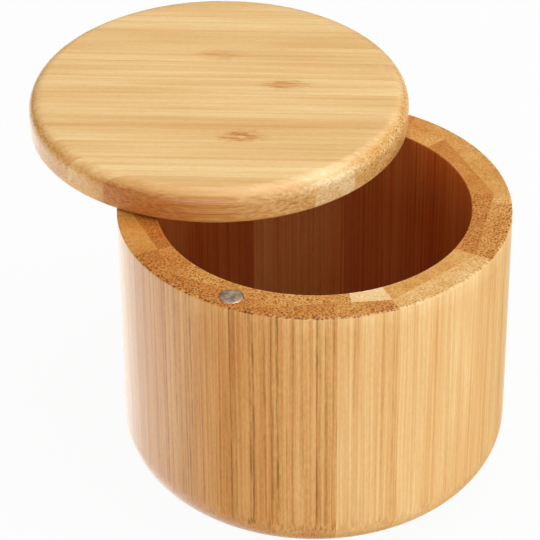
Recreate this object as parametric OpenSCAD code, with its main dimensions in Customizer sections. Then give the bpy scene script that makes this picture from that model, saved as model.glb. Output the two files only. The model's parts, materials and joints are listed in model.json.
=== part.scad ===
// Round salt box of laminated bamboo. The body is a ring of mitred staves, two plies thick, turned round
// on the outside and in the well, with a disc glued in as its floor. The flat lid turns sideways on an
// upright pin at the back of the rim and is caught by a pair of magnets at the front.
// Z = 0 is the table, the front is -Y, and the lid is drawn swung open.

/* [Body] */
// Outside diameter of the body
body_d = 100; // [96:1:130]
// Height of the body, from the table to the rim
body_h = 75.5; // [45:0.5:120]
// Thickness of the floor
floor_t = 8; // [5:0.5:16]
// Radius of the rounded lower edge of the body
foot_round = 13.5; // [4:0.5:18]
// Radius of the eased outer edge of the rim
rim_ease = 0.6; // [0.2:0.1:1.5]
// Width of the bevel round the mouth of the well
mouth_bevel = 0.5; // [0.2:0.1:1.2]

/* [Staves] */
// Number of staves in the ring
stave_count = 10; // [8:1:12]
// Angle of the first mitre joint, counted from +X
stave_turn = -3.5; // [-18:0.5:18]
// Thickness of the outer ply at the middle of a stave
outer_ply_t = 6.3; // [3:0.1:8]
// Thickness of the inner ply at the middle of a stave, where the well is nearest to it
inner_ply_t = 3.95; // [3.5:0.05:16]
// Strip joint in outer ply 1, to the right of the stave's middle
outer_joint_1 = 10.2; // [-12:0.1:12]
// Strip joint in outer ply 7, to the right of the stave's middle
outer_joint_7 = 2.9; // [-12:0.1:12]
// Strip joint in outer ply 8, to the right of the stave's middle
outer_joint_8 = 4.6; // [-12:0.1:12]
// Strip joint in outer ply 9, to the right of the stave's middle
outer_joint_9 = 0.2; // [-12:0.1:12]
// Strip joint in inner ply 7, to the right of the stave's middle
inner_joint_7 = 3; // [-10:0.1:10]
// Strip joint in inner ply 9, to the right of the stave's middle
inner_joint_9 = 4.2; // [-10:0.1:10]

/* [Lid] */
// Thickness of the lid
lid_t = 9; // [8:0.5:16]
// How far the closed lid stands out past the body
lid_overhang = 0; // [-1:0.25:3]
// Radius of the rounded upper edge of the lid
lid_top_round = 4; // [1:0.5:6]
// Radius of the eased lower edge of the lid
lid_low_ease = 0.8; // [0.3:0.1:1.5]
// Angle that the lid is swung open by
lid_open = 63; // [0:1:180]

/* [Boards] */
// Number of strips that the lid is glued from
lid_strips = 13; // [6:1:20]
// Width left of the lid's first strip, at its left edge
lid_first_w = 3.77; // [1:0.01:8]
// Width left of the lid's last strip, at its right edge
lid_last_w = 7.7; // [1:0.01:8]
// Angle of the lid's strips to the line from magnet to pin
lid_grain_turn = -2.4; // [-10:0.1:10]
// Number of strips that the floor is glued from
floor_strips = 11; // [5:1:16]
// Width left of the floor's first strip, at its left edge
floor_first_w = 3; // [1:0.01:8]
// Width left of the floor's last strip, at its right edge
floor_last_w = 6.03; // [1:0.01:8]

/* [Pin and magnets] */
// Distance of the pin and the magnets in from the outside of the body
hardware_inset = 4.8; // [4.2:0.1:5.2]
// Diameter of the pivot pin
pin_d = 3; // [2:0.5:4]
// Length of the pin that is held in the rim
pin_in_body = 16; // [10:1:25]
// Length of the pin that is inside the lid
pin_in_lid = 6; // [3:0.5:7]
// Space all round the pin in the lid
pin_clearance = 0.05; // [0.01:0.01:0.1]
// Space past the tip of the pin in the lid
pin_tip_space = 0.3; // [0.1:0.1:0.8]
// Bevel at the ends of the pin
pin_bevel = 0.4; // [0.1:0.1:0.8]
// Outside diameter of the pivot washer
washer_d = 8; // [5:0.5:8.5]
// Thickness of the pivot washer
washer_t = 0.4; // [0.3:0.1:1.5]
// Space all round the pin in the washer
washer_clearance = 0.1; // [0.05:0.05:0.5]
// Space between the washer and the lid
washer_play = 0.1; // [0.05:0.05:0.5]
// Diameter of the catch magnets
magnet_d = 6; // [4:0.5:6]
// Thickness of the catch magnets
magnet_t = 3; // [1.5:0.5:4]
// Radius of the rounded edges of the magnets
magnet_ease = 0.3; // [0.1:0.1:0.6]

/* [Hidden] */
$fn = 192;
body_r = body_d / 2;
lid_r = body_r + lid_overhang;
lid_z = body_h + washer_t + washer_play;
hardware_r = body_r - hardware_inset;
glue_line_r = body_r - outer_ply_t;
well_r = glue_line_r - inner_ply_t;
half_mitre = 180 / stave_count;
over = 1;

pale = [0.92, 0.76, 0.53];
honey = [0.86, 0.65, 0.40];
amber = [0.80, 0.55, 0.30];
brown = [0.73, 0.47, 0.24];
steel = [0.62, 0.62, 0.64];
nickel = [0.72, 0.70, 0.67];
nylon = [0.90, 0.89, 0.86];

// Strip joints of plies 1, 2, 3 and on, undef where a ply is one strip
outer_joints = [outer_joint_1, undef, undef, undef, undef, undef,
    outer_joint_7, outer_joint_8, outer_joint_9, undef];
inner_joints = [undef, undef, undef, undef, undef, undef, inner_joint_7, undef, inner_joint_9, undef];

// Tones of the plies, the left strip first where there are two
outer_tones = [[brown, honey], [honey], [amber], [honey], [amber], [honey],
    [honey, brown], [brown, amber], [brown, amber], [pale]];
inner_tones = [[brown], [amber], [honey], [amber], [honey], [honey],
    [amber, honey], [honey], [amber, pale], [pale]];
board_tones = [honey, pale, honey, honey, pale, pale, pale, honey];

// Sides of ply i: one empty name, or a left and a right strip
function sides(joints, i) = is_undef(joints[i - 1]) ? [""] : ["_left", "_right"];
function tone_of(tones, i, side) = let (t = tones[(i - 1) % len(tones)]) t[side == "_right" ? 1 : 0];
function ply_names(layer, joints) =
    [for (i = [1:stave_count]) for (side = sides(joints, i)) str(layer, "_ply_", i, side)];

// Edges of the strips of a round board of radius r, left to right. All but the first and last are equal.
function strip_edges(r, count, first_w, last_w) = let (strip_w = (2 * r - first_w - last_w) / (count - 2))
    concat([-r - over], [for (k = [0:count - 2]) first_w - r + k * strip_w], [r + over]);
function strip_names(board, edges) = [for (i = [1:len(edges) - 1]) str(board, "_strip_", i)];

lid_edges = strip_edges(lid_r, lid_strips, lid_first_w, lid_last_w);
floor_edges = strip_edges(well_r, floor_strips, floor_first_w, floor_last_w);

// Everything outside a quarter round of radius r, for the corner that points along (sx, sy) from its centre
module corner_waste(r, sx, sy) {
    difference() {
        toward_corner(sx, sy) square(r + over);
        circle(r);
    }
}

module toward_corner(sx, sy) {
    mirror([sx < 0 ? 1 : 0, 0]) mirror([0, sy < 0 ? 1 : 0]) children();
}

// Waste under the body's rounded lower edge
module foot_waste() {
    translate([body_r - foot_round, foot_round]) corner_waste(foot_round, 1, -1);
}

// The turned ring: walls, rounded lower edge, eased rim and bevelled mouth
module turned_ring() {
    rotate_extrude() difference() {
        translate([well_r, 0]) square([body_r - well_r, body_h]);
        foot_waste();
        translate([body_r - rim_ease, body_h - rim_ease]) corner_waste(rim_ease, 1, 1);
        polygon([[well_r - over, body_h + over], [well_r - over, body_h - mouth_bevel - over],
            [well_r + mouth_bevel + over, body_h + over]]);
    }
}

// One ply of stave i, cut to the mitres, between two distances from the axis. A stave's front is -Y here.
module ply_blank(i, near, far, joint, side) {
    t = tan(half_mitre);
    reach = far * t + over;
    rotate(stave_turn + (2 * i - 1) * half_mitre + 90)
        linear_extrude(body_h) intersection() {
            polygon([[-near * t, -near], [near * t, -near], [far * t, -far], [-far * t, -far]]);
            if (side == "_left") translate([joint - 2 * reach, -far]) square([2 * reach, far]);
            if (side == "_right") translate([joint, -far]) square([2 * reach, far]);
            if (side == "") translate([-reach, -far]) square([2 * reach, far]);
        }
}

// Holes for the pin and the catch magnet, sunk into the rim
module rim_holes() {
    translate([0, hardware_r, body_h - pin_in_body]) cylinder(d = pin_d, h = pin_in_body + over);
    translate([0, -hardware_r, body_h - magnet_t]) cylinder(d = magnet_d, h = magnet_t + over);
}

module outer_ply(i, side) {
    color(tone_of(outer_tones, i, side)) difference() {
        intersection() {
            turned_ring();
            ply_blank(i, glue_line_r, body_r + over, outer_joints[i - 1], side);
        }
        rim_holes();
    }
}

module inner_ply(i, side) {
    color(tone_of(inner_tones, i, side)) difference() {
        intersection() {
            turned_ring();
            ply_blank(i, well_r * cos(half_mitre) - over, glue_line_r, inner_joints[i - 1], side);
        }
        rim_holes();
    }
}

// One strip of a board between two of its glue lines
module strip_blank(edges, i, r, h) {
    translate([edges[i - 1], -r - over]) cube([edges[i] - edges[i - 1], 2 * (r + over), h]);
}

module floor_strip(i) {
    color(board_tones[(i + 2) % len(board_tones)]) intersection() {
        rotate_extrude() difference() {
            square([well_r, floor_t]);
            foot_waste();
        }
        strip_blank(floor_edges, i, well_r, floor_t);
    }
}

// The lid's parts are drawn closed, then swung open about the pin
module swung_open() {
    translate([0, hardware_r, 0]) rotate(-lid_open) translate([0, -hardware_r, lid_z]) children();
}

module turned_lid() {
    rotate_extrude() difference() {
        square([lid_r, lid_t]);
        translate([lid_r - lid_top_round, lid_t - lid_top_round]) corner_waste(lid_top_round, 1, 1);
        translate([lid_r - lid_low_ease, lid_low_ease]) corner_waste(lid_low_ease, 1, -1);
    }
}

module lid_strip(i) {
    color(board_tones[i % len(board_tones)]) swung_open() difference() {
        intersection() {
            turned_lid();
            rotate(lid_grain_turn) strip_blank(lid_edges, i, lid_r, lid_t);
        }
        translate([0, hardware_r, -over])
            cylinder(r = pin_d / 2 + pin_clearance, h = pin_in_lid - washer_t - washer_play + pin_tip_space + over);
        translate([0, -hardware_r, -over]) cylinder(d = magnet_d, h = magnet_t + over);
    }
}

module pivot_pin() {
    length = pin_in_body + pin_in_lid;
    color(steel) translate([0, hardware_r, body_h - pin_in_body]) rotate_extrude()
        polygon([[0, 0], [pin_d / 2 - pin_bevel, 0], [pin_d / 2, pin_bevel], [pin_d / 2, length - pin_bevel],
            [pin_d / 2 - pin_bevel, length], [0, length]]);
}

module pivot_washer() {
    color(nylon) translate([0, hardware_r, body_h]) difference() {
        cylinder(d = washer_d, h = washer_t);
        translate([0, 0, -over]) cylinder(r = pin_d / 2 + washer_clearance, h = washer_t + 2 * over);
    }
}

module magnet() {
    color(nickel) rotate_extrude() difference() {
        square([magnet_d / 2, magnet_t]);
        translate([magnet_d / 2 - magnet_ease, magnet_t - magnet_ease]) corner_waste(magnet_ease, 1, 1);
        translate([magnet_d / 2 - magnet_ease, magnet_ease]) corner_waste(magnet_ease, 1, -1);
    }
}

module rim_magnet() {
    translate([0, -hardware_r, body_h - magnet_t]) magnet();
}

module lid_magnet() {
    swung_open() translate([0, -hardware_r, 0]) magnet();
}

for (i = [1:stave_count]) {
    for (side = sides(outer_joints, i))
        outer_ply(i, side);
    for (side = sides(inner_joints, i))
        inner_ply(i, side);
}
for (i = [1:len(floor_edges) - 1])
    floor_strip(i);
for (i = [1:len(lid_edges) - 1])
    lid_strip(i);
pivot_pin();
pivot_washer();
rim_magnet();
lid_magnet();
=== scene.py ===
import json
import math

import bmesh
import bpy
import numpy as np
from bpy.props import FloatProperty, FloatVectorProperty, IntProperty, PointerProperty
from mathutils import Matrix, Vector


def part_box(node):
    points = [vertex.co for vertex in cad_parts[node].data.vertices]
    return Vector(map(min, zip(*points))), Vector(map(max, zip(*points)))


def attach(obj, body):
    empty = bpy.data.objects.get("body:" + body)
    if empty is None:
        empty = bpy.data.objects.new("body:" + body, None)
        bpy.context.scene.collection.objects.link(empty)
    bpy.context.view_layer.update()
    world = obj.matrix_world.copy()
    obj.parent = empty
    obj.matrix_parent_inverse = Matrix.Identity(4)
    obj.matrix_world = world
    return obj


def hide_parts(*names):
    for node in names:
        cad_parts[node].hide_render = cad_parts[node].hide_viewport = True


bl_info = {
    "name": "Bamboo salt box",
    "version": (1, 0, 0),
    "blender": (4, 5, 0),
    "location": "View3D > Sidebar > Salt box",
    "description": "Dresses a round box of mitred bamboo staves and its swivel lid",
    "category": "Object",
}

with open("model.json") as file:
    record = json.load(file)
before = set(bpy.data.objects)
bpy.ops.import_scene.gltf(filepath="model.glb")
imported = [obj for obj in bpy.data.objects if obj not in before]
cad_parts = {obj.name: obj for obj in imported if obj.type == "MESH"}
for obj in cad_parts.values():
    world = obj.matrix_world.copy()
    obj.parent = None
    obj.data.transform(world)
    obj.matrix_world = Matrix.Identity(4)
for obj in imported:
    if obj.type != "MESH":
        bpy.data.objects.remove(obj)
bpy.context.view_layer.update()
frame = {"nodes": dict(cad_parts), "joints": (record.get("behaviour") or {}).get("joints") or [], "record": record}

MM = 0.001
GRAIN_STEP = 41.0  # mm between the grain of one strip and the next, so that no two strips are alike
FAR = 99.0  # mm, a seam distance where there is no seam
# Where each kind of strip starts in the row of grains, counted in strips
GRAIN_PLACES = {"outer": 0, "inner": 30, "floor": 60, "lid": 80}
MAGNET_STAVE, PIN_STAVE = 8, 3  # the staves that hold the rim magnet and the pivot pin
MAGNET_ROOM, PIN_ROOM = 0.05, 0.0125  # mm round the magnet and the pin in the rim
SLOTS = {part["node"]: part["material_slot"] for part in frame["record"]["subparts"]}


# Sizes taken from the frame, in mm

def span(prefix):
    """Lowest and highest corner of the box round all frame nodes whose names start with prefix."""
    boxes = [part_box(name) for name in frame["nodes"] if name.startswith(prefix)]
    low = np.min([np.array(low) for low, _ in boxes], axis=0)
    high = np.max([np.array(high) for _, high in boxes], axis=0)
    return low / MM, high / MM


def round_place(name):
    """Centre, radius, foot and top of an upright round node, in mm."""
    low, high = span(name)
    return (low[:2] + high[:2]) / 2, (high[0] - low[0]) / 2, low[2], high[2]


def snapped(length):
    """A length to a twentieth of a millimetre, because the frame's round faces are made of facets."""
    return round(length * 20) / 20


ring_low, ring_high = span("outer_ply_")
floor_low, floor_high = span("floor_strip_")
lid_low, lid_high = span("lid_strip_")
BODY_R = snapped((ring_high[0] - ring_low[0]) / 2)
RIM_Z = snapped(ring_high[2])
FLOOR_T = snapped(floor_high[2])
LID_R = snapped((lid_high[0] - lid_low[0]) / 2)
LID_Z = snapped(lid_low[2])
LID_T = snapped(lid_high[2] - lid_low[2])
PIN = np.array(frame["joints"][0]["pos_m"])[:2] / MM
LID_CENTRE = (lid_low[:2] + lid_high[:2]) / 2
# The closed lid lies straight in front of the pin, so the swing is read from where its centre has gone
SWING = math.degrees(math.atan2(LID_CENTRE[0] - PIN[0], PIN[1] - LID_CENTRE[1]))


# Looks of the strips: the depth of the long grain and of the end grain against the strip's tone, and how
# strongly dark fibres show on long grain and on end grain

OUTER_LOOKS = {
    "1_left": (2.12, 1.20, 0.4, 1.3),
    "1_right": (1.18, 0.85, 0.4, 0.5),
    "2": (1.05, 0.70, 0.4, 0.4),
    "3": (1.15, 0.95, 0.5, 0.4),
    "4": (0.95, 0.80, 0.4, 0.6),
    "5": (1.05, 0.85, 0.6, 0.7),
    "6": (1.00, 0.75, 0.4, 0.6),
    "7_left": (0.80, 0.61, 0.5, 0.3),
    "7_right": (1.20, 0.80, 0.6, 1.2),
    "8_left": (1.28, 0.86, 0.7, 1.5),
    "8_right": (0.92, 0.68, 0.9, 1.3),
    "9_left": (1.43, 0.93, 0.9, 1.4),
    "9_right": (1.49, 0.83, 0.3, 1.2),
    "10": (0.92, 0.81, 0.2, 0.5),
}
# The inner plies' depths are partly their own tone and partly painted light and shade on the wall of the well: ply
# 4 is drawn lighter where light falls in, the others darker
INNER_LOOKS = {
    "1": (1.05, 0.88, 0.4, 1.2),
    "2": (0.60, 0.69, 0.4, 0.4),
    "3": (0.60, 0.78, 0.4, 0.5),
    "4": (1.62, 0.85, 0.4, 0.5),
    "5": (0.62, 0.80, 0.4, 0.6),
    "6": (0.74, 0.80, 0.4, 0.6),
    "7_left": (0.95, 0.50, 0.4, 0.9),
    "7_right": (0.90, 0.48, 0.4, 0.9),
    "8": (0.95, 0.62, 0.4, 1.2),
    "9_left": (1.15, 0.92, 0.4, 1.2),
    "9_right": (0.95, 1.04, 0.4, 0.15),
    "10": (0.90, 0.62, 0.4, 0.4),
}
# The lid's strips also have a slope: how much lighter the long grain gets from the strip's left to its right
LID_LOOKS = (
    (0.96, 0.75, 0.25, 0.8, 0.0),
    (1.21, 0.92, 0.25, 0.7, 0.10),
    (1.25, 1.00, 0.25, 0.8, -0.12),
    (0.95, 0.70, 0.25, 0.9, 0.0),
    (0.95, 0.75, 0.25, 0.8, 0.08),
    (0.97, 0.80, 0.25, 0.7, -0.06),
    (1.33, 1.00, 0.25, 0.8, -0.12),
    (1.27, 0.95, 0.25, 0.7, 0.05),
    (0.94, 0.75, 0.25, 0.9, -0.20),
    (1.19, 0.90, 0.25, 0.8, 0.10),
    (1.13, 0.92, 0.25, 0.6, -0.08),
    (1.07, 0.98, 0.25, 0.35, -0.10),
    (0.83, 0.66, 0.25, 1.2, 0.0),
)
FLOOR_LOOK = (1.0, 0.8, 0.3, 0.6)
# Growth nodes on the lid: strip, middle across and along the strip in mm, strength
LID_KNOTS = {5: (0.2, 0.0, 0.5), 7: (-0.9, 17.5, 0.9), 10: (1.0, 7.2, 1.2)}
KNOT_HALF_WIDTH, KNOT_HALF_LENGTH = 3.6, 7.5  # mm
# Tone of the lid's upright side against its top: long grain in front, long grain behind and end grain behind,
# and how much deeper the rounded edge above the side is in front. The deeper side and rounded edge in front are
# partly the strips' own tone and partly painted shade, and the lighter side behind is painted light.
SIDE_FRONT, SIDE_BACK, SIDE_END_BACK, SHOULDER = 0.36, 1.3, 1.18, 0.22


class SALTBOX_PG_body(bpy.types.PropertyGroup):
    """Sizes of the ring of staves."""

    stave_count: IntProperty(
        name="Staves", description="Number of mitred staves in the ring", default=10, min=8, max=12)
    stave_turn: FloatProperty(
        name="First mitre", description="Angle of the first mitre joint, counted from +X",
        default=math.radians(-3.5), subtype="ANGLE", unit="ROTATION")
    outer_ply: FloatProperty(
        name="Outer ply", description="Thickness of the outer ply at the middle of a stave",
        default=6.3 * MM, unit="LENGTH")
    inner_ply: FloatProperty(
        name="Inner ply", description="Thickness of the inner ply at the middle of a stave",
        default=3.95 * MM, unit="LENGTH")
    foot_round: FloatProperty(
        name="Foot", description="Radius of the rounded lower edge", default=13.5 * MM, unit="LENGTH")
    rim_ease: FloatProperty(
        name="Rim ease", description="Radius of the eased outer edge of the rim",
        default=0.6 * MM, unit="LENGTH")
    mouth_bevel: FloatProperty(
        name="Mouth bevel", description="Width of the bevel round the mouth of the well",
        default=0.5 * MM, unit="LENGTH")


class SALTBOX_PG_boards(bpy.types.PropertyGroup):
    """Sizes of the glued boards that the floor and the lid are turned from."""

    lid_first: FloatProperty(
        name="Lid, first strip", description="Width left of the lid's first strip",
        default=3.77 * MM, unit="LENGTH")
    lid_last: FloatProperty(
        name="Lid, last strip", description="Width left of the lid's last strip",
        default=7.7 * MM, unit="LENGTH")
    lid_grain: FloatProperty(
        name="Lid grain", description="Angle of the strips to the line from magnet to pin",
        default=math.radians(-2.4), subtype="ANGLE", unit="ROTATION")
    lid_top_round: FloatProperty(
        name="Lid upper edge", description="Radius of the rounded upper edge of the lid",
        default=4.0 * MM, unit="LENGTH")
    lid_low_ease: FloatProperty(
        name="Lid lower edge", description="Radius of the eased lower edge of the lid",
        default=0.8 * MM, unit="LENGTH")
    floor_first: FloatProperty(
        name="Floor, first strip", description="Width left of the floor's first strip",
        default=3.0 * MM, unit="LENGTH")
    floor_last: FloatProperty(
        name="Floor, last strip", description="Width left of the floor's last strip",
        default=6.03 * MM, unit="LENGTH")


class SALTBOX_PG_finish(bpy.types.PropertyGroup):
    """Colours and finish of the bamboo and of the metal."""

    ground: FloatVectorProperty(
        name="Ground", description="Colour of bamboo of depth 1", subtype="COLOR", default=(0.88, 0.56, 0.23))
    brown: FloatProperty(name="Brown", description="Depth of the darkest strips", default=0.45)
    amber: FloatProperty(name="Amber", description="Depth of the darker strips", default=0.60)
    honey: FloatProperty(name="Honey", description="Depth of the lighter strips", default=0.82)
    pale: FloatProperty(name="Pale", description="Depth of the lightest strips", default=1.0)
    fibre_depth: FloatProperty(
        name="Fibre depth", description="How much darker than the strip its darkest fibres are, from 0 to 1",
        default=0.66, min=0.0, max=1.0)
    # Painted shade: this darkens the wall of the well to stand in for the shade inside the box
    well_depth: FloatProperty(
        name="Well depth", description="Depth of the wall of the well, which oil has soaked",
        default=0.54, min=0.05, max=1.0)
    fibre_spacing: FloatProperty(
        name="Fibre spacing", description="Mean distance between dark fibres",
        default=0.80 * MM, unit="LENGTH")
    nickel: FloatVectorProperty(
        name="Nickel", description="Plating of the magnets", subtype="COLOR", default=(0.70, 0.55, 0.41))
    steel: FloatVectorProperty(
        name="Steel", description="Pivot pin", subtype="COLOR", default=(0.50, 0.50, 0.52))
    nylon: FloatVectorProperty(
        name="Nylon", description="Pivot washer", subtype="COLOR", default=(0.78, 0.75, 0.68))


class SALTBOX_PG_stage(bpy.types.PropertyGroup):
    """Camera, lamps and background."""

    lens: FloatProperty(
        name="Lens", description="Focal length on a sensor 36 mm wide", default=188.77,
        subtype="DISTANCE_CAMERA")
    azimuth: FloatProperty(
        name="Azimuth", description="Turn of the line of sight from the front towards +X",
        default=math.radians(27.319), subtype="ANGLE", unit="ROTATION")
    elevation: FloatProperty(
        name="Elevation", description="Height angle of the camera over its target",
        default=math.radians(34.808), subtype="ANGLE", unit="ROTATION")
    distance: FloatProperty(
        name="Distance", description="From the target to the camera", default=0.72705, unit="LENGTH")
    roll: FloatProperty(
        name="Roll", description="Turn of the camera about its line of sight",
        default=math.radians(-0.4513), subtype="ANGLE", unit="ROTATION")
    target: FloatVectorProperty(
        name="Target", description="Point that the camera looks at", subtype="XYZ", unit="LENGTH",
        default=(-0.010076, -0.005205, 0.055163))
    sky: FloatProperty(
        name="Room light", description="Strength of the even light of the room", default=0.69, min=0.0)
    top: FloatProperty(
        name="Top lamp", description="Power of the soft lamp overhead", default=3.5, unit="POWER")
    side: FloatProperty(
        name="Sheen lamp", description="Power of the lamp on the right that only gloss shows", default=4.0,
        unit="POWER")
    front: FloatProperty(
        name="Front lamp", description="Power of the low lamp in front", default=1.4, unit="POWER")
    low: FloatProperty(
        name="Low lamp", description="Power of the low lamp on the right", default=2.0, unit="POWER")
    floor: FloatVectorProperty(
        name="Floor", description="Colour of the floor", subtype="COLOR", default=(0.70, 0.70, 0.70))
    glow: FloatProperty(
        name="Floor glow", description="Share of plain white in the floor where it is looked at",
        default=0.95, min=0.0, max=1.0)
    haze: FloatProperty(
        name="Left of the room", description="How bright reflections of the room low on the left are",
        default=1.7, min=0.0)
    warm: FloatVectorProperty(
        name="Right of the room", description="Colour of reflections of the room low on the right",
        subtype="COLOR", default=(0.70, 0.42, 0.18))
    dim: FloatProperty(
        name="Dark of the room", description="How bright all other reflections are", default=0.08, min=0.0)


class SaltBoxPiece:
    """What all the operators share."""

    bl_options = {"REGISTER", "UNDO"}


# Meshes

def build_mesh(name, rings):
    """A closed solid carried through rings: rings[i, j] is point j of closed loop i, in mm. Quads join
    neighbouring loops, a face closes the first and the last, and points that fall together are merged."""
    columns, loop = rings.shape[:2]
    corner = np.arange(columns * loop).reshape(columns, loop)
    near, far = corner[:-1], corner[1:]
    quads = np.stack([near, np.roll(near, -1, axis=1), np.roll(far, -1, axis=1), far], axis=-1)
    faces = quads.reshape(-1, 4).tolist() + [corner[0].tolist()[::-1], corner[-1].tolist()]
    mesh = bpy.data.meshes.new(name)
    mesh.from_pydata((rings.reshape(-1, 3) * MM).tolist(), [], faces)
    shape = bmesh.new()
    shape.from_mesh(mesh)
    bmesh.ops.remove_doubles(shape, verts=shape.verts, dist=0.002 * MM)
    bmesh.ops.dissolve_degenerate(shape, edges=shape.edges, dist=0.001 * MM)
    bmesh.ops.recalc_face_normals(shape, faces=shape.faces)
    shape.to_mesh(mesh)
    shape.free()
    piece = bpy.data.objects.new(name, mesh)
    bpy.context.scene.collection.objects.link(piece)
    return piece


def turned(name, centre, profile, steps=96):
    """A solid of revolution about an upright line through centre: every point (radius, height) of the closed
    profile goes round in equal steps."""
    angle = np.linspace(0, 2 * np.pi, steps, endpoint=False)
    radius, height = np.array(profile).T
    ring = np.stack([
        centre[0] + radius[:, None] * np.cos(angle), centre[1] + radius[:, None] * np.sin(angle),
        np.broadcast_to(height[:, None], (len(radius), steps))], axis=-1)
    return build_mesh(name, ring)


def cut(piece, cutter):
    """Takes the cutter's room out of the piece for good."""
    carve = piece.modifiers.new("cut", "BOOLEAN")
    carve.operation = "DIFFERENCE"
    carve.solver = "EXACT"
    carve.object = cutter
    carved = bpy.data.meshes.new_from_object(piece.evaluated_get(bpy.context.evaluated_depsgraph_get()))
    piece.modifiers.remove(carve)
    old, piece.data = piece.data, carved
    bpy.data.meshes.remove(old)
    piece.data.name = piece.name


def round_cutter(centre, radius, low, high):
    """A plain upright cylinder that is only cut with."""
    return turned("cutter", centre, [(0, low), (radius, low), (radius, high), (0, high)])


def drop(thing):
    """Removes a cutter with its mesh."""
    mesh = thing.data
    bpy.data.objects.remove(thing)
    bpy.data.meshes.remove(mesh)


def points_of(mesh):
    """The mesh's points as an array, in mm."""
    flat = np.empty(len(mesh.vertices) * 3)
    mesh.vertices.foreach_get("co", flat)
    return flat.reshape(-1, 3) / MM


def turn_matrix(degrees):
    """Turns rows of points in the plane by an angle, counted from +X to +Y."""
    a = math.radians(degrees)
    return np.array([[math.cos(a), math.sin(a)], [-math.sin(a), math.cos(a)]])


def mark(mesh, name, values):
    """Stores one vector for each point: values is one vector, or one for each point."""
    layer = mesh.attributes.new(name, "FLOAT_VECTOR", "POINT")
    full = np.broadcast_to(np.asarray(values, dtype=np.float32), (len(mesh.vertices), 3))
    layer.data.foreach_set("vector", np.ascontiguousarray(full).ravel())


def finish_strip(piece, node, look, grain, seams, axis, place, form=(0, 0, 3), knot=(0, 0, 0), streaks=1.0,
                 slope=0.0):
    """Makes a mesh a strip of bamboo and puts it in the node's place. grain gives each point across, through
    and along the strip, seams its distances from the glued faces, axis the way that the fibres run, form its
    share in the painted shade of the wall of the well, its share in a painted highlight on an edge of the rim
    and its depth under the outside in mm, and knot a growth node's place across and along the strip with its
    strength. streaks is how strong the lines of long grain are, and slope how much lighter it gets from the
    strip's left to its right."""
    long_depth, end_depth, long_fibre, end_fibre = look
    mesh = piece.data
    mark(mesh, "grain", grain + np.array([GRAIN_STEP * place, 0, 0]))
    mark(mesh, "seams", seams)
    mark(mesh, "axis", axis)
    mark(mesh, "depths", np.stack(np.broadcast_arrays(long_depth, end_depth, slope), axis=-1))
    mark(mesh, "fibres", np.stack(np.broadcast_arrays(long_fibre, end_fibre, streaks), axis=-1))
    mark(mesh, "form", form)
    mark(mesh, "knot", knot + np.array([GRAIN_STEP * place, 0, 0]))
    mesh.shade_smooth()
    mesh.set_sharp_from_angle(angle=math.radians(28))
    mesh.materials.clear()
    mesh.materials.append(bamboo_material(SLOTS[node].removeprefix("bamboo_")))
    hand_in(piece, "lid" if node.startswith("lid") else "box", node)


def hand_in(piece, body, node):
    """The piece takes the node's place and moves with its body."""
    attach(piece, body)
    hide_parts(node)


def board_seams(points, edges, number):
    """Distances of the points of a board's strip from its glued faces. The board's own rim isn't one."""
    to_low = points[:, 0] - edges[number - 1] if number > 1 else np.full(len(points), FAR)
    to_high = edges[number] - points[:, 0] if number < len(edges) - 1 else np.full(len(points), FAR)
    return np.stack([to_low, to_high, np.full(len(points), FAR)], axis=-1)


# Staves

def foot_curve(radius, foot):
    """Height of the rounded lower edge at a radius: a quarter circle that starts at BODY_R - foot."""
    return foot - np.sqrt(np.maximum(foot ** 2 - np.maximum(radius - BODY_R + foot, 0) ** 2, 0))


def lerp(a, b, t):
    return a + (b - a) * t


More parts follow.
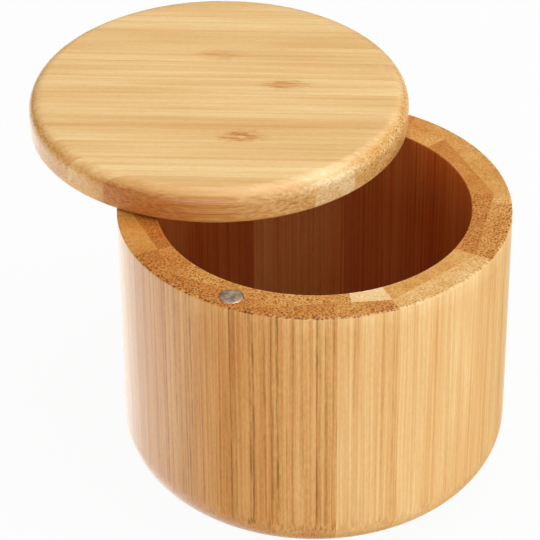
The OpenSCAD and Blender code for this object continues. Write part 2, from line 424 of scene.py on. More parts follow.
class Stave:
    """One stave of the ring: its middle direction, its mitres and its glue line."""

    def __init__(self, body, number):
        self.half = math.pi / body.stave_count
        self.middle = body.stave_turn + (2 * number - 1) * self.half
        self.glue = BODY_R - body.outer_ply / MM
        self.well = self.glue - body.inner_ply / MM
        self.foot = body.foot_round / MM
        self.ease = body.rim_ease / MM
        self.bevel = body.mouth_bevel / MM

    def azimuth(self, radius, share, left, right):
        """Angle from the stave's middle at a share of the way from its left to its right face. A face is a
        mitre, at half the stave's angle, or stands square at left or right mm from the middle, at
        asin(side / radius)."""
        low = -self.half if left is None else np.arcsin(left / radius)
        high = self.half if right is None else np.arcsin(right / radius)
        return lerp(low, high, share)

    def glue_radius(self, share, left, right):
        """Radius at which each column meets the flat glue face: glue / cos(azimuth), found by repetition."""
        radius = np.full_like(share, self.glue)
        for _ in range(8):
            radius = self.glue / np.cos(self.azimuth(radius, share, left, right))
        return radius

    def rings(self, profile_r, profile_z, share, left, right):
        """Rows of profiles placed round the ring: (columns, profile points, 3)."""
        angle = self.middle + self.azimuth(profile_r, share[:, None], left, right)
        return np.stack([profile_r * np.cos(angle), profile_r * np.sin(angle), profile_z], axis=-1)

    def foot_run(self, start, end, steps):
        """Points along the rounded lower edge from one radius to another, in equal turns of its circle."""
        centre = BODY_R - self.foot
        turn = lerp(np.arcsin((start - centre) / self.foot)[:, None],
                    np.arcsin((end - centre) / self.foot)[:, None], np.linspace(0, 1, steps))
        return centre + self.foot * np.sin(turn), self.foot - self.foot * np.cos(turn)

    def outer(self, share, left, right):
        """Outer ply: foot, wall, eased rim, flat rim, and down the glue face."""
        one = np.ones_like(share)[:, None]
        inside = self.glue_radius(share, left, right)
        foot_r, foot_z = self.foot_run(inside, np.full_like(inside, BODY_R), 16)
        wall_z = np.linspace(self.foot, RIM_Z - self.ease, 14)[1:-1]
        bend = np.linspace(0, np.pi / 2, 7)
        flat = lerp(BODY_R - self.ease, inside[:, None], np.array([0.03, 0.2, 0.4, 0.6, 0.8, 1]))
        back_z = lerp(RIM_Z, foot_z[:, :1], np.linspace(0, 1, 8)[1:-1])
        profile_r = np.hstack([foot_r, one * BODY_R * np.ones_like(wall_z),
                               one * (BODY_R - self.ease + self.ease * np.cos(bend)), flat,
                               inside[:, None] * np.ones(back_z.shape[1])])
        profile_z = np.hstack([foot_z, one * wall_z, one * (RIM_Z - self.ease + self.ease * np.sin(bend)),
                               np.full_like(flat, RIM_Z), back_z])
        return self.rings(profile_r, profile_z, share, left, right)

    def inner(self, share, left, right):
        """Inner ply: foot, up the glue face, flat rim, rounded mouth, and down the wall of the well."""
        one = np.ones_like(share)[:, None]
        outside = self.glue_radius(share, left, right)
        foot_r, foot_z = self.foot_run(np.full_like(outside, self.well), outside, 6)
        back_z = lerp(foot_z[:, -1:], RIM_Z, np.linspace(0, 1, 8)[1:-1])
        flat = lerp(outside[:, None], self.well + self.bevel, np.array([0, 0.3, 0.65, 0.96]))
        bend = np.linspace(0, np.pi / 2, 6)
        wall_z = np.append(RIM_Z - self.bevel - 0.15, np.linspace(RIM_Z - 5, foot_z[0, 0], 13)[:-1])
        profile_r = np.hstack([foot_r, outside[:, None] * np.ones(back_z.shape[1]), flat,
                               one * (self.well + self.bevel - self.bevel * np.sin(bend)),
                               one * self.well * np.ones_like(wall_z)])
        profile_z = np.hstack([foot_z, back_z, np.full_like(flat, RIM_Z),
                               one * (RIM_Z - self.bevel + self.bevel * np.cos(bend)), one * wall_z])
        return self.rings(profile_r, profile_z, share, left, right)

    def form(self, points, layer):
        """Share of each point in the painted shade of the wall of the well and in the painted highlights at the
        mouth and outside the rim, and its depth under the outside, which is taken as 3 mm in the inner plies."""
        radius = np.hypot(points[:, 0], points[:, 1])
        in_well = radius < self.well + self.bevel - 0.02
        # Painted shade: the wall of the well below the rim is drawn darker
        well_shade = np.where(in_well, np.clip((RIM_Z - points[:, 2] - 0.05) / 0.2, 0, 1), 0)
        # Painted highlights: the mouth and the outer edge of the rim are drawn lighter
        mouth = (radius < self.well + self.bevel + 0.02) * (1 - well_shade)
        outside = (radius > BODY_R - self.ease - 0.02) & (points[:, 2] > RIM_Z - self.ease - 0.02)
        under = BODY_R - radius if layer == "outer" else np.full(len(points), 3.0)
        return np.stack([well_shade, mouth + 0.5 * outside, under], axis=-1)

    def local(self, points):
        """Points in the stave's own directions: across, outwards, up."""
        angle = math.degrees(self.middle)
        outward, across = (points[:, :2] @ turn_matrix(-angle)).T
        return np.stack([across, outward, points[:, 2]], axis=-1)

    def seams(self, grain, left, right):
        """Distances from the left face, the right face and the glue face."""
        across, outward = grain[:, 0], grain[:, 1]
        slope, run = math.sin(self.half), math.cos(self.half)
        to_left = outward * slope + across * run if left is None else across - left
        to_right = outward * slope - across * run if right is None else right - across
        return np.stack([to_left, to_right, np.abs(outward - self.glue)], axis=-1)


# Square strip joints of a ply, in mm to the right of its stave's middle
STRIP_JOINTS = {("outer", 1): 10.2, ("outer", 7): 2.9, ("outer", 8): 4.6, ("outer", 9): 0.2,
                ("inner", 7): 3.0, ("inner", 9): 4.2}
# How much lighter a ply's long grain gets from its left to its right: on the wall of the well this is painted
# light, a gradient where light falls in across the ply
PLY_SLOPES = {("inner", 3): 0.25, ("inner", 4): 0.5}


def make_plies(body, layer, looks):
    """All plies of one layer. A ply with a strip joint is made of a left and a right strip."""
    cutters = rim_cutters()
    for place, (key, look) in enumerate(looks.items()):
        number, _, side = key.partition("_")
        stave = Stave(body, int(number))
        joint = STRIP_JOINTS.get((layer, int(number)))
        left = joint if side == "right" else None
        right = joint if side == "left" else None
        share = np.linspace(0, 1, 14 if side else 26)
        node = f"{layer}_ply_{key}"
        piece = build_mesh("bamboo_" + node, getattr(stave, layer)(share, left, right))
        for stave_number, cutter in cutters:
            if stave_number == int(number):
                cut(piece, cutter)
        points = points_of(piece.data)
        grain = stave.local(points)
        finish_strip(piece, node, look, grain, stave.seams(grain, left, right), (0, 0, 1),
                     GRAIN_PLACES[layer] + place, stave.form(points, layer),
                     streaks=0.5 + 0.6 * look[2], slope=PLY_SLOPES.get((layer, int(number)), 0.0))
    for _, cutter in cutters:
        drop(cutter)


def rim_cutters():
    """The magnet's pocket and the pin's hole, each with the stave that it is in."""
    centre, radius, foot, _ = round_place("rim_magnet")
    pocket = round_cutter(centre, radius + MAGNET_ROOM, foot, RIM_Z + 1)
    _, radius, foot, _ = round_place("pivot_pin")
    hole = round_cutter(PIN, radius + PIN_ROOM, foot, RIM_Z + 1)
    return [(MAGNET_STAVE, pocket), (PIN_STAVE, hole)]


class SALTBOX_OT_outer_plies(SaltBoxPiece, bpy.types.Operator):
    """Outer plies: a foot, a wall and half of the rim, carried round the ring stave by stave"""

    bl_idname = "saltbox.outer_plies"
    bl_label = "Outer plies"

    def execute(self, context):
        make_plies(context.scene.saltbox_body, "outer", OUTER_LOOKS)
        return {"FINISHED"}


class SALTBOX_OT_inner_plies(SaltBoxPiece, bpy.types.Operator):
    """Inner plies: the wall of the well and the inner half of the rim"""

    bl_idname = "saltbox.inner_plies"
    bl_label = "Inner plies"

    def execute(self, context):
        make_plies(context.scene.saltbox_body, "inner", INNER_LOOKS)
        return {"FINISHED"}


# Boards

def strip_edges(radius, count, first, last):
    """Edges of a round board's strips, left to right: all strips but the first and last are equally wide."""
    inner = np.linspace(first - radius, radius - last, count - 1)
    return np.concatenate([[-radius], inner, [radius]])


def board_strip(radius, low, high, bottom, wall, top, steps=14):
    """One strip of a round board between two upright planes, as rings across it. bottom and top are outlines
    of the board as (radius, height), from the axis to the wall. A column at u holds the outline's points with
    v = sqrt(radius**2 - u**2), and points nearer to the axis than u fall together at v = 0."""
    turn = np.linspace(math.asin(max(low / radius, -1)), math.asin(min(high / radius, 1)), steps)
    u = radius * np.sin(turn)
    u[0], u[-1] = low, high
    half = np.vstack([bottom, wall, top[::-1]])
    reach = np.maximum(half[:, 0], np.abs(u)[:, None])
    inward = half[:, 0] < np.abs(u)[:, None]
    v = np.sqrt(np.maximum(reach ** 2 - u[:, None] ** 2, 0))
    height = np.broadcast_to(half[:, 1], v.shape).copy()
    for outline, rows in ((bottom, slice(0, len(bottom))), (top[::-1], slice(len(bottom) + len(wall), None))):
        order = np.argsort(outline[:, 0], kind="stable")
        met = np.interp(reach[:, rows], outline[order, 0], outline[order, 1])
        height[:, rows] = np.where(inward[:, rows], met, height[:, rows])
    v = np.hstack([v, -v[:, ::-1]])
    height = np.hstack([height, height[:, ::-1]])
    return np.stack([np.broadcast_to(u[:, None], v.shape), v, height], axis=-1)


def quarter(centre_r, centre_z, radius, start, end, steps):
    """Points of an arc as (radius, height), from one angle to another."""
    turn = np.radians(np.linspace(start, end, steps))
    return np.stack([centre_r + radius * np.cos(turn), centre_z + radius * np.sin(turn)], axis=-1)


def flat_run(start, end, height, steps):
    """Points of a flat stretch of an outline as (radius, height)."""
    return np.stack([np.linspace(start, end, steps), np.full(steps, float(height))], axis=-1)


class SALTBOX_OT_floor(SaltBoxPiece, bpy.types.Operator):
    """Floor: a disc of glued strips, flat on top, its lower edge part of the rounded foot"""

    bl_idname = "saltbox.floor"
    bl_label = "Floor"

    def execute(self, context):
        boards = context.scene.saltbox_boards
        stave = Stave(context.scene.saltbox_body, 1)
        flat_r = BODY_R - stave.foot
        edge = np.linspace(flat_r, stave.well, 6)
        bottom = np.vstack([flat_run(0, flat_r, 0, 10)[:-1],
                            np.stack([edge, foot_curve(edge, stave.foot)], axis=-1)])
        wall = np.stack([np.full(2, stave.well), np.linspace(bottom[-1, 1], FLOOR_T, 4)[1:-1]], axis=-1)
        top = flat_run(0, stave.well, FLOOR_T, 14)
        count = sum(name.startswith("floor_strip_") for name in frame["nodes"])
        edges = strip_edges(stave.well, count, boards.floor_first / MM, boards.floor_last / MM)
        for number in range(1, count + 1):
            low, high = edges[number - 1], edges[number]
            node = f"floor_strip_{number}"
            piece = build_mesh("bamboo_" + node, board_strip(stave.well, low, high, bottom, wall, top))
            points = points_of(piece.data)
            finish_strip(piece, node, FLOOR_LOOK, points[:, [0, 2, 1]], board_seams(points, edges, number),
                         (0, 1, 0), GRAIN_PLACES["floor"] + number)
        return {"FINISHED"}


def swing_points(points, boards):
    """From the lid's strips to the swung lid: turns by the grain's angle, then by the swing about the pin."""
    flat = points[..., :2] @ turn_matrix(math.degrees(boards.lid_grain)) - np.array([0, PIN[1]])
    placed = points.copy()
    placed[..., :2] = flat @ turn_matrix(SWING) + PIN
    placed[..., 2] += LID_Z
    return placed


def unswing_points(points, boards):
    """The way back from the swung lid to its strips."""
    flat = (points[..., :2] - PIN) @ turn_matrix(-SWING) + np.array([0, PIN[1]])
    home = points.copy()
    home[..., :2] = flat @ turn_matrix(-math.degrees(boards.lid_grain))
    home[..., 2] -= LID_Z
    return home


class SALTBOX_OT_lid(SaltBoxPiece, bpy.types.Operator):
    """Lid: a disc of glued strips with a round upper edge, swung open about the pin"""

    bl_idname = "saltbox.lid"
    bl_label = "Lid"

    def execute(self, context):
        boards = context.scene.saltbox_boards
        top_round, low_ease = boards.lid_top_round / MM, boards.lid_low_ease / MM
        bottom = np.vstack([flat_run(0, LID_R - low_ease, 0, 18)[:-1],
                            quarter(LID_R - low_ease, low_ease, low_ease, -90, 0, 7)])
        wall = np.stack([np.full(3, LID_R), np.linspace(low_ease, LID_T - top_round, 5)[1:-1]], axis=-1)
        top = np.vstack([flat_run(0, LID_R - top_round, LID_T, 18)[:-1],
                         quarter(LID_R - top_round, LID_T - top_round, top_round, 90, 0, 19)])
        count = sum(name.startswith("lid_strip_") for name in frame["nodes"])
        edges = strip_edges(LID_R, count, boards.lid_first / MM, boards.lid_last / MM)
        centre, magnet_radius, _, magnet_top = round_place("lid_magnet")
        _, pin_radius, _, pin_top = round_place("pivot_pin")
        cutters = [round_cutter(centre, magnet_radius + 0.1, LID_Z - 1, magnet_top),
                   round_cutter(PIN, pin_radius + 0.05, LID_Z - 1, pin_top + 0.3)]
        axis = swing_points(np.array([[0.0, 1, 0]]), boards) - swing_points(np.zeros((1, 3)), boards)
        for number in range(1, count + 1):
            low, high = edges[number - 1], edges[number]
            node = f"lid_strip_{number}"
            rings = swing_points(board_strip(LID_R, low, high, bottom, wall, top), boards)
            piece = build_mesh("bamboo_" + node, rings)
            if low < 6 and high > -6:
                for cutter in cutters:
                    cut(piece, cutter)
            points = unswing_points(points_of(piece.data), boards)
            # The upright side of the lid is deeper in tone than its top in front, and lighter behind: partly the
            # strips' own tone, partly painted shade in front and painted light behind
            at_rim = np.hypot(*points[:, :2].T) > LID_R - 0.9
            upright = np.clip((LID_T - 1 - points[:, 2]) / 1.5, 0, 1) * at_rim
            long_depth, *others, slope = LID_LOOKS[number - 1]
            across, along, strength = LID_KNOTS.get(number, (0, 0, 0))
            shoulder = np.clip(1 - np.abs(points[:, 2] - LID_T + 1.5) / 1.5, 0, 1) * (1 - upright)
            behind = np.clip((points[:, 1] + 15) / 45, 0, 1) ** 1.3
            shoulder = 1 - SHOULDER * shoulder * (1 - behind)
            long_depth = long_depth * lerp(1, lerp(SIDE_FRONT, SIDE_BACK, behind), upright) * shoulder
            end_depth = others[0] * lerp(1, lerp(1, SIDE_END_BACK, behind), upright) * shoulder
            finish_strip(piece, node, (long_depth, end_depth, *others[1:]), points[:, [0, 2, 1]],
                         board_seams(points, edges, number), axis[0], GRAIN_PLACES["lid"] + number,
                         knot=np.array([(low + high) / 2 + across, along, strength]),
                         streaks=lerp(0.28, 1.5, upright), slope=slope)
        for cutter in cutters:
            drop(cutter)
        return {"FINISHED"}


# Metal and plastic

class SALTBOX_OT_magnets(SaltBoxPiece, bpy.types.Operator):
    """Catch magnets: plated discs with rounded edges, one in the rim and one in the lid"""

    bl_idname = "saltbox.magnets"
    bl_label = "Magnets"

    def execute(self, context):
        finish = context.scene.saltbox_finish
        for node, body in (("rim_magnet", "box"), ("lid_magnet", "lid")):
            centre, radius, foot, top = round_place(node)
            ease = 0.3
            flat = snapped(radius) - ease
            profile = np.vstack([
                flat_run(0, flat, foot, 3)[:-1], quarter(flat, foot + ease, ease, -90, 0, 6),
                quarter(flat, top - ease, ease, 0, 90, 6), flat_run(flat, 0, top, 3)[1:]])
            piece = turned("plated_" + node, centre, profile)
            piece.data.shade_smooth()
            piece.data.set_sharp_from_angle(angle=math.radians(40))
            piece.data.materials.append(nickel_material(finish))
            hand_in(piece, body, node)
        return {"FINISHED"}


class SALTBOX_OT_pivot(SaltBoxPiece, bpy.types.Operator):
    """Pivot: the frame's own pin and washer, in ground steel and nylon"""

    bl_idname = "saltbox.pivot"
    bl_label = "Pivot"

    def execute(self, context):
        finish = context.scene.saltbox_finish
        materials = {"pivot_pin": steel_material(finish), "pivot_washer": nylon_material(finish)}
        for node, material in materials.items():
            shown = frame["nodes"][node].data.materials
            shown.clear()
            shown.append(material)
        return {"FINISHED"}


# Materials

class Wiring:
    """Adds nodes to a tree, each linked to its sources as it is made."""

    def __init__(self, tree):
        self.tree = tree
        self.made = 0

    def add(self, kind, *values, **settings):
        """A node of a kind. Values go to its inputs in order: a socket is linked, a number set, None left."""
        node = self.tree.nodes.new("ShaderNode" + kind)
        node.location = (190 * (self.made // 5), -260 * (self.made % 5))
        self.made += 1
        for name, value in settings.items():
            setattr(node, name, value)
        for socket, value in zip(node.inputs, values):
            self.give(socket, value)
        return node

    def give(self, socket, value):
        if isinstance(value, bpy.types.NodeSocket):
            self.tree.links.new(value, socket)
        elif value is not None:
            socket.default_value = value

    def math(self, operation, *values):
        return self.add("Math", *values, operation=operation).outputs[0]

    def times(self, a, b):
        return self.math("MULTIPLY", a, b)

    def plus(self, a, b):
        return self.math("ADD", a, b)

    def minus(self, a, b):
        return self.math("SUBTRACT", a, b)

    def scaled(self, value, factor, start):
        """value * factor + start"""
        return self.math("MULTIPLY_ADD", value, factor, start)

    def dot(self, a, b):
        return self.add("VectorMath", a, b, operation="DOT_PRODUCT").outputs["Value"]

    def vector(self, operation, *values):
        return self.add("VectorMath", *values, operation=operation).outputs["Vector"]

    def parts(self, vector):
        return self.add("SeparateXYZ", vector).outputs

    def joined(self, x, y, z):
        return self.add("CombineXYZ", x, y, z).outputs[0]

    def noise(self, place, stretch, detail=2.0, roughness=0.5):
        """Noise from 0 to 1. stretch is how many features there are to one unit of each direction."""
        scaled = self.vector("MULTIPLY", place, stretch)
        return self.add("TexNoise", scaled, None, 1.0, detail, roughness).outputs["Fac"]

    def ramp(self, value, low, high, start=0.0, end=1.0):
        """A smooth step of a value from one level to another."""
        return self.add("MapRange", value, low, high, start, end, interpolation_type="SMOOTHSTEP").outputs[0]

    def blend(self, share, a, b, kind="MIX"):
        """Mixes two colours."""
        node = self.add("Mix", data_type="RGBA", blend_type=kind)
        for index, value in ((0, share), (6, a), (7, b)):
            self.give(node.inputs[index], value)
        return node.outputs[2]

    def shaded(self, colour, shade):
        """A plain colour made lighter and darker by a shade."""
        return self.blend(1.0, (*colour, 1), self.joined(shade, shade, shade), "MULTIPLY")

    def attribute(self, name):
        return self.add("Attribute", attribute_name=name).outputs["Vector"]


def group_tree(name, inputs, outputs):
    """An empty node group with its named inputs and outputs: (name, socket type, default)."""
    tree = bpy.data.node_groups.new(name, "ShaderNodeTree")
    for label, kind, value in inputs:
        socket = tree.interface.new_socket(label, in_out="INPUT", socket_type="NodeSocket" + kind)
        socket.default_value = value
    for label, kind in outputs:
        tree.interface.new_socket(label, in_out="OUTPUT", socket_type="NodeSocket" + kind)
    wiring = Wiring(tree)
    source = tree.nodes.new("NodeGroupInput")
    source.location = (-220, 0)
    return wiring, source.outputs, tree.nodes.new("NodeGroupOutput")


def bamboo_group():
    """Bamboo: dark fibres that run along the strip and crowd towards the outside of the box, so they show as
    dots on end grain and as streaks on long grain, with light threads, lines, bands and flecks between them,
    a growth node, glue lines, painted shade on the wall of the well and painted highlights on the edges of
    the rim. Together they make one depth, and the colour is the ground's times depth**r, depth and depth**b,
    with r 0.45 and b 1.7 on long grain."""
    if "Bamboo" in bpy.data.node_groups:
        return bpy.data.node_groups["Bamboo"]
    w, given, out = group_tree("Bamboo", [
        ("Ground", "Color", (0.8, 0.5, 0.2, 1)), ("Tone Depth", "Float", 1.0), ("Fibre Depth", "Float", 0.7),
        ("Spacing", "Float", 0.6), ("Well Depth", "Float", 0.3)],
        [("Color", "Color"), ("Roughness", "Float"), ("Height", "Float")])
    grain = w.attribute("grain")
    seams, depths, fibres, form, knot = (
        w.parts(w.attribute(name)) for name in ("seams", "depths", "fibres", "form", "knot"))
    facing = w.dot(w.add("TexCoord").outputs["Normal"], w.attribute("axis"))
    end = w.ramp(w.math("ABSOLUTE", facing), 0.35, 0.85)
    along = w.minus(1.0, end)

    # A slow wander of the fibres, in mm across and through
    slow = w.add("TexNoise", w.vector("MULTIPLY", grain, (0.25, 0.25, 0.012)), None, 1.0, 1.0)
    drift = w.vector("SUBTRACT", slow.outputs["Color"], (0.5, 0.5, 0.5))
    place = w.vector("ADD", grain, w.vector("MULTIPLY", drift, (0.9, 0.9, 0)))

    # Dark fibres
    cell = w.vector("DIVIDE", place, w.joined(given["Spacing"], given["Spacing"], 1.0))
    fibre = w.add("TexVoronoi", cell, None, 1.0, voronoi_dimensions="2D", feature="F1")
    chance = w.parts(fibre.outputs["Color"])
    size = w.times(w.scaled(chance[0], 0.14, 0.20), w.ramp(form[2], 0.2, 1.2, 1.35, 1.0))
    core = w.ramp(w.math("DIVIDE", fibre.outputs["Distance"], size), 0.6, 1.4, 1.0, 0.0)
    skin = w.times(w.ramp(form[2], 0.2, 1.6, 1.6, 1.1), w.ramp(form[2], 1.4, 6.0, 1.0, 0.6))
    dashes = w.ramp(w.noise(place, (1.3, 1.3, 0.10), 4.0, 0.65), 0.35, 0.62, 0.10, 0.55)
    strength = w.times(w.scaled(w.math("POWER", chance[1], 1.5), 0.8, 0.2), core)
    strength = w.times(strength, skin)
    amount = w.plus(w.times(w.times(fibres[0], dashes), along), w.times(fibres[1], end))
    dark = w.math("MINIMUM", w.times(strength, amount), 1.0)

    # Threads, lines, bands and flecks. Long grain has the lines and end grain the mottle.
    broad = w.noise(place, (0.16, 0.16, 0.014), 2.0)
    bands = w.noise(place, (0.75, 0.75, 0.008), 4.0, 0.6)
    lines = w.noise(place, (1.7, 1.7, 0.008), 2.0, 0.6)
    flecks = w.noise(place, (2.0, 2.0, 0.6), 2.0, 0.6)
    mottle = w.noise(place, (1.8, 1.8, 0.3), 3.0, 0.6)
    crossing = w.math("ABSOLUTE", w.minus(w.noise(place, (0.9, 0.9, 0.006), 2.0, 0.6), 0.5))
    thread = w.times(w.ramp(crossing, 0.004, 0.03, 1.0, 0.0), along)
    thread = w.times(thread, w.ramp(w.noise(place, (0.6, 0.6, 0.05), 3.0), 0.4, 0.6))
    lined = w.times(w.ramp(lines, 0.34, 0.66, -0.5, 0.5), w.times(along, fibres[2]))
    lined = w.times(lined, w.scaled(form[0], 1.0, 1.0))
    spotted = w.times(w.ramp(mottle, 0.36, 0.64, -0.24, 0.24), w.times(end, w.scaled(fibres[1], 0.7, 0.3)))
    depth = w.scaled(w.minus(broad, 0.5), 0.75, 1.0)
    depth = w.scaled(w.minus(bands, 0.5), 0.5, depth)
    depth = w.scaled(w.minus(flecks, 0.5), w.scaled(fibres[0], 0.5, 0.15), depth)
    depth = w.scaled(lined, 0.31, depth)
    across = w.math("DIVIDE", seams[0], w.plus(seams[0], seams[1]))
    sloped = w.times(w.minus(across, 0.5), w.times(depths[2], along))
    depth = w.plus(depth, sloped)
    depth = w.plus(depth, spotted)
    depth = w.scaled(w.times(thread, fibres[2]), 0.16, depth)
    depth = w.times(depth, w.plus(w.times(depths[0], along), w.times(depths[1], end)))
    depth = w.times(depth, w.minus(1.0, w.times(dark, given["Fibre Depth"])))

    # The wall of the well darker as painted shade, and the mouth and outer edge of the rim lighter as painted
    # highlights
    well_shade = w.times(form[0], w.minus(1.0, given["Well Depth"]))
    depth = w.times(depth, w.minus(1.0, well_shade))
    depth = w.times(depth, w.scaled(form[1], 0.25, 1.0))

    # A growth node: a deeper patch with short dark streaks and a light chip in the middle
    wave = w.minus(w.noise(grain, (0.8, 0.8, 0.5), 4.0, 0.6), 0.5)
    beside = w.minus(w.parts(grain)[0], knot[0])
    ahead = w.minus(w.parts(grain)[2], knot[1])
    far = w.math("SQRT", w.plus(w.math("POWER", w.math("DIVIDE", beside, KNOT_HALF_WIDTH), 2.0),
                                w.math("POWER", w.math("DIVIDE", ahead, KNOT_HALF_LENGTH), 2.0)))
    far = w.scaled(wave, 1.4, far)
    patch = w.times(w.ramp(far, 0.1, 1.1, 1.0, 0.0), knot[2])
    streaks = w.ramp(w.noise(grain, (1.0, 1.0, 0.11), 3.0, 0.65), 0.46, 0.58)
    near = w.plus(w.math("ABSOLUTE", ahead), w.math("ABSOLUTE", beside))
    chip = w.times(w.ramp(near, 0.5, 1.8, 1.0, 0.0), w.ramp(knot[2], 1.0, 1.1))
    depth = w.times(depth, w.scaled(patch, -0.22, 1.0))
    depth = w.times(depth, w.scaled(w.times(patch, streaks), -0.40, 1.0))
    depth = w.times(depth, w.scaled(chip, 0.4, 1.0))

    # Glue lines, which come and go along the strip: darker than long grain and lighter than end grain
    nearest = w.math("MINIMUM", w.math("MINIMUM", seams[0], seams[1]), seams[2])
    shown = w.ramp(w.noise(place, (0.05, 0.05, 0.03), 2.0), 0.4, 0.65, 0.06, 0.4)
    shown = w.times(shown, w.scaled(end, -1.6, 1.0))
    glue = w.times(w.ramp(nearest, 0.02, 0.16, 1.0, 0.0), shown)
    depth = w.times(depth, w.minus(1.0, glue))
    depth = w.math("MAXIMUM", w.times(depth, given["Tone Depth"]), 0.01)

    # End grain keeps more red and less blue, and the wall of the well keeps more red as painted shade that stands
    # in for light bouncing between its walls
    red = w.scaled(form[0], -0.09, w.scaled(end, -0.05, 0.45))
    blue = w.scaled(end, 0.6, 1.7)
    bamboo = w.joined(w.math("POWER", depth, red), depth, w.math("POWER", depth, blue))
    burnt = w.blend(dark, (1, 1, 1, 1), (0.52, 0.72, 0.72, 1))
    colour = w.blend(1.0, w.blend(1.0, given["Ground"], bamboo, "MULTIPLY"), burnt, "MULTIPLY")
    rough = w.scaled(w.noise(place, (0.6, 0.6, 0.05), 2.0), 0.2, 0.45)
    rough = w.scaled(end, 0.1, rough)
    height = w.scaled(flecks, 0.5, w.times(bands, 0.4))
    height = w.minus(height, w.times(dark, 0.5))
    height = w.minus(height, w.times(glue, 1.5))
    for name, socket in (("Color", colour), ("Roughness", rough), ("Height", height)):
        w.give(out.inputs[name], socket)
    out.location = (190 * (w.made // 5 + 1), 0)
    return w.tree


def surface(name):
    """An empty material: its wiring and its Principled BSDF."""
    material = bpy.data.materials.new(name)
    material.use_nodes = True
    wiring = Wiring(material.node_tree)
    shader = material.node_tree.nodes["Principled BSDF"]
    shader.location = (900, 0)
    material.node_tree.nodes["Material Output"].location = (1200, 0)
    return material, wiring, shader


def bump(w, shader, height, strength, depth):
    """Feeds a height to the shader's normal. depth is the relief in mm."""
    node = w.add("Bump")
    node.inputs["Strength"].default_value = strength
    node.inputs["Distance"].default_value = depth * MM
    w.give(node.inputs["Height"], height)
    w.give(shader.inputs["Normal"], node.outputs[0])


def bamboo_material(tone):
    """Oiled bamboo in one of the four tones."""
    name = "Bamboo " + tone
    if name in bpy.data.materials:
        return bpy.data.materials[name]
    finish = bpy.context.scene.saltbox_finish
    material, w, shader = surface(name)
    node = w.add("Group", node_tree=bamboo_group())
    w.give(node.inputs["Ground"], (*finish.ground, 1))
    w.give(node.inputs["Tone Depth"], getattr(finish, tone))
    w.give(node.inputs["Fibre Depth"], finish.fibre_depth)
    w.give(node.inputs["Well Depth"], finish.well_depth)
    w.give(node.inputs["Spacing"], finish.fibre_spacing / MM)
    w.give(shader.inputs["Base Color"], node.outputs["Color"])
    w.give(shader.inputs["Roughness"], node.outputs["Roughness"])
    shader.inputs["Specular IOR Level"].default_value = 0.25
    shader.inputs["Coat Weight"].default_value = 0.85
    shader.inputs["Coat Roughness"].default_value = 0.2
    bump(w, shader, node.outputs["Height"], 0.5, 0.08)
    return material


def nickel_material(finish):
    """Satin nickel plate with fine rubbed lines."""
    material, w, shader = surface("Nickel plate")
    place = w.add("TexCoord").outputs["Object"]
    lines = w.noise(place, (900, 14000, 900), 4.0, 0.65)
    blots = w.noise(place, (700, 700, 700), 3.0, 0.6)
    shade = w.ramp(blots, 0.3, 0.7, 0.6, 1.3)
    w.give(shader.inputs["Base Color"], w.shaded(finish.nickel, shade))
    w.give(shader.inputs["Roughness"], w.scaled(lines, 0.25, 0.36))
    shader.inputs["Metallic"].default_value = 1.0
    bump(w, shader, lines, 0.25, 0.02)
    return material


def steel_material(finish):
    """Ground steel: fine rings round the pin."""
    material, w, shader = surface("Ground steel")
    rings = w.noise(w.add("TexCoord").outputs["Object"], (300, 300, 22000), 3.0, 0.6)
    shade = w.ramp(rings, 0.2, 0.8, 0.85, 1.1)
    w.give(shader.inputs["Base Color"], w.shaded(finish.steel, shade))
    w.give(shader.inputs["Roughness"], w.scaled(rings, 0.25, 0.25))
    shader.inputs["Metallic"].default_value = 1.0
    bump(w, shader, rings, 0.2, 0.01)
    return material


def nylon_material(finish):
    """Natural nylon with a faint moulded mottle."""
    material, w, shader = surface("Nylon")
    mottle = w.noise(w.add("TexCoord").outputs["Object"], (1800, 1800, 1800), 3.0, 0.6)
    shade = w.ramp(mottle, 0.2, 0.8, 0.93, 1.05)
    w.give(shader.inputs["Base Color"], w.shaded(finish.nylon, shade))
    w.give(shader.inputs["Roughness"], w.scaled(mottle, 0.15, 0.4))
    bump(w, shader, mottle, 0.15, 0.02)
    return material


# Stage

def aim(thing, place, target, roll=0.0):
    """Puts a camera or lamp at a place, looking at the target, with its right side level before the roll."""
    back = (Vector(place) - Vector(target)).normalized()
    level = Vector((0, 0, 1)).cross(back).normalized()
    upright = back.cross(level)
    right = level * math.cos(roll) + upright * math.sin(roll)
    up = back.cross(right)
    turn = Matrix((right, up, back)).transposed().to_4x4()
    thing.matrix_world = Matrix.Translation(place) @ turn


def round_to(target, azimuth, elevation, distance):
    """The point at a distance from the target, azimuth counted from the front, -Y, towards +X."""
    level = distance * math.cos(elevation)
    return Vector(target) + Vector((level * math.sin(azimuth), -level * math.cos(azimuth),
                                    distance * math.sin(elevation)))


def soft_lamp(name, azimuth, elevation, distance, width, height, power):
    """A white lamp that looks at the box: angles in degrees, distance and size in metres, power in watts."""
    lamp = bpy.data.lights.new(name, "AREA")
    lamp.shape = "RECTANGLE"
    lamp.size, lamp.size_y = width, height
    lamp.energy = power
    holder = bpy.data.objects.new(name, lamp)
    bpy.context.scene.collection.objects.link(holder)
    middle = (0, 0, 0.04)
    aim(holder, round_to(middle, math.radians(azimuth), math.radians(elevation), distance), middle)
    return holder


def grey(value):
    return value, value, value, 1


def seen_share(w):
    """1 for rays that look at the floor straight or by a reflection, 0 for rays that light the object."""
    path = w.add("LightPath").outputs
    looks = w.plus(w.plus(path["Is Camera Ray"], path["Is Glossy Ray"]), path["Is Transmission Ray"])
    return w.math("MINIMUM", looks, 1.0)


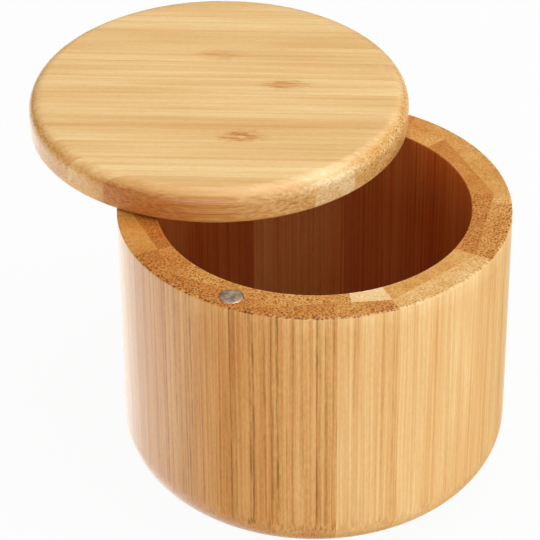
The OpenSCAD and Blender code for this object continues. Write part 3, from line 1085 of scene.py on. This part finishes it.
class SALTBOX_OT_stage(SaltBoxPiece, bpy.types.Operator):
    """Stage: pale floor, white surroundings, soft lamps and the camera"""

    bl_idname = "saltbox.stage"
    bl_label = "Stage"

    def execute(self, context):
        stage = context.scene.saltbox_stage
        context.scene.view_settings.view_transform = "Standard"

        half = 2.0
        mesh = bpy.data.meshes.new("floor")
        mesh.from_pydata([(-half, -half, 0), (half, -half, 0), (half, half, 0), (-half, half, 0)], [],
                         [(0, 1, 2, 3)])
        floor = bpy.data.objects.new("floor", mesh)
        context.scene.collection.objects.link(floor)
        material, w, shader = surface("Pale floor")
        w.give(shader.inputs["Base Color"], (*stage.floor, 1))
        shader.inputs["Roughness"].default_value = 0.9
        shader.inputs["Specular IOR Level"].default_value = 0.0
        glow = w.add("Emission", (1, 1, 1, 1), 1.0)
        share = w.times(seen_share(w), stage.glow)
        mixed = w.add("MixShader", share, shader.outputs[0], glow.outputs[0])
        w.give(material.node_tree.nodes["Material Output"].inputs[0], mixed.outputs[0])
        mesh.materials.append(material)
        floor.visible_glossy = False

        world = bpy.data.worlds.new("Room")
        context.scene.world = world
        world.use_nodes = True
        w = Wiring(world.node_tree)
        sky = world.node_tree.nodes["Background"]
        path = w.add("LightPath").outputs
        way = w.add("TexCoord").outputs["Generated"]
        left = w.dot(way, (-0.966, 0.259, 0))
        low = w.ramp(w.parts(way)[2], 0.05, -0.25)
        right = w.times(w.ramp(left, 0.5, 0.3), low)
        mirrored = w.blend(right, grey(stage.dim), (*stage.warm, 1))
        white = w.times(w.ramp(left, 0.12, 0.72), w.ramp(w.parts(way)[2], 0.0, -0.36))
        mirrored = w.blend(white, mirrored, grey(stage.haze))
        lit = w.blend(path["Is Glossy Ray"], grey(stage.sky), mirrored)
        w.give(sky.inputs["Color"], w.blend(path["Is Camera Ray"], lit, (1, 1, 1, 1)))

        soft_lamp("Top lamp", 154, 70, 1.0, 0.8, 0.8, stage.top)
        soft_lamp("Front lamp", 20, 10, 0.9, 0.7, 0.3, stage.front)
        soft_lamp("Low lamp", 95, 14, 0.9, 0.7, 0.4, stage.low)
        soft_lamp("Sheen lamp", 82, 60, 0.9, 1.0, 0.6, stage.side).visible_diffuse = False

        lens = bpy.data.cameras.new("Camera")
        lens.sensor_width = 36
        lens.lens = stage.lens
        lens.clip_start, lens.clip_end = 0.01, 50
        camera = bpy.data.objects.new("Camera", lens)
        context.scene.collection.objects.link(camera)
        place = round_to(stage.target, stage.azimuth, stage.elevation, stage.distance)
        aim(camera, place, stage.target, stage.roll)
        context.scene.camera = camera
        return {"FINISHED"}


class SALTBOX_PT_panel(bpy.types.Panel):
    """Lists the pieces and their settings"""

    bl_idname = "SALTBOX_PT_panel"
    bl_label = "Salt box"
    bl_space_type = "VIEW_3D"
    bl_region_type = "UI"
    bl_category = "Salt box"

    def draw(self, context):
        for group in GROUPS:
            settings = getattr(context.scene, group)
            box = self.layout.box()
            for name in settings.__annotations__:
                box.prop(settings, name)
        for operator in OPERATORS:
            self.layout.operator(operator.bl_idname)


GROUPS = {
    "saltbox_body": SALTBOX_PG_body,
    "saltbox_boards": SALTBOX_PG_boards,
    "saltbox_finish": SALTBOX_PG_finish,
    "saltbox_stage": SALTBOX_PG_stage,
}
OPERATORS = (
    SALTBOX_OT_outer_plies, SALTBOX_OT_inner_plies, SALTBOX_OT_floor, SALTBOX_OT_lid,
    SALTBOX_OT_magnets, SALTBOX_OT_pivot, SALTBOX_OT_stage,
)


def register():
    for kind in (*GROUPS.values(), *OPERATORS, SALTBOX_PT_panel):
        bpy.utils.register_class(kind)
    for name, group in GROUPS.items():
        setattr(bpy.types.Scene, name, PointerProperty(type=group))


def unregister():
    for name in GROUPS:
        delattr(bpy.types.Scene, name)
    for kind in reversed((*GROUPS.values(), *OPERATORS, SALTBOX_PT_panel)):
        bpy.utils.unregister_class(kind)


def main():
    """Makes every piece and the stage."""
    register()
    for operator in OPERATORS:
        family, name = operator.bl_idname.split(".")
        getattr(getattr(bpy.ops, family), name)()


if __name__ == "__main__":
    main()
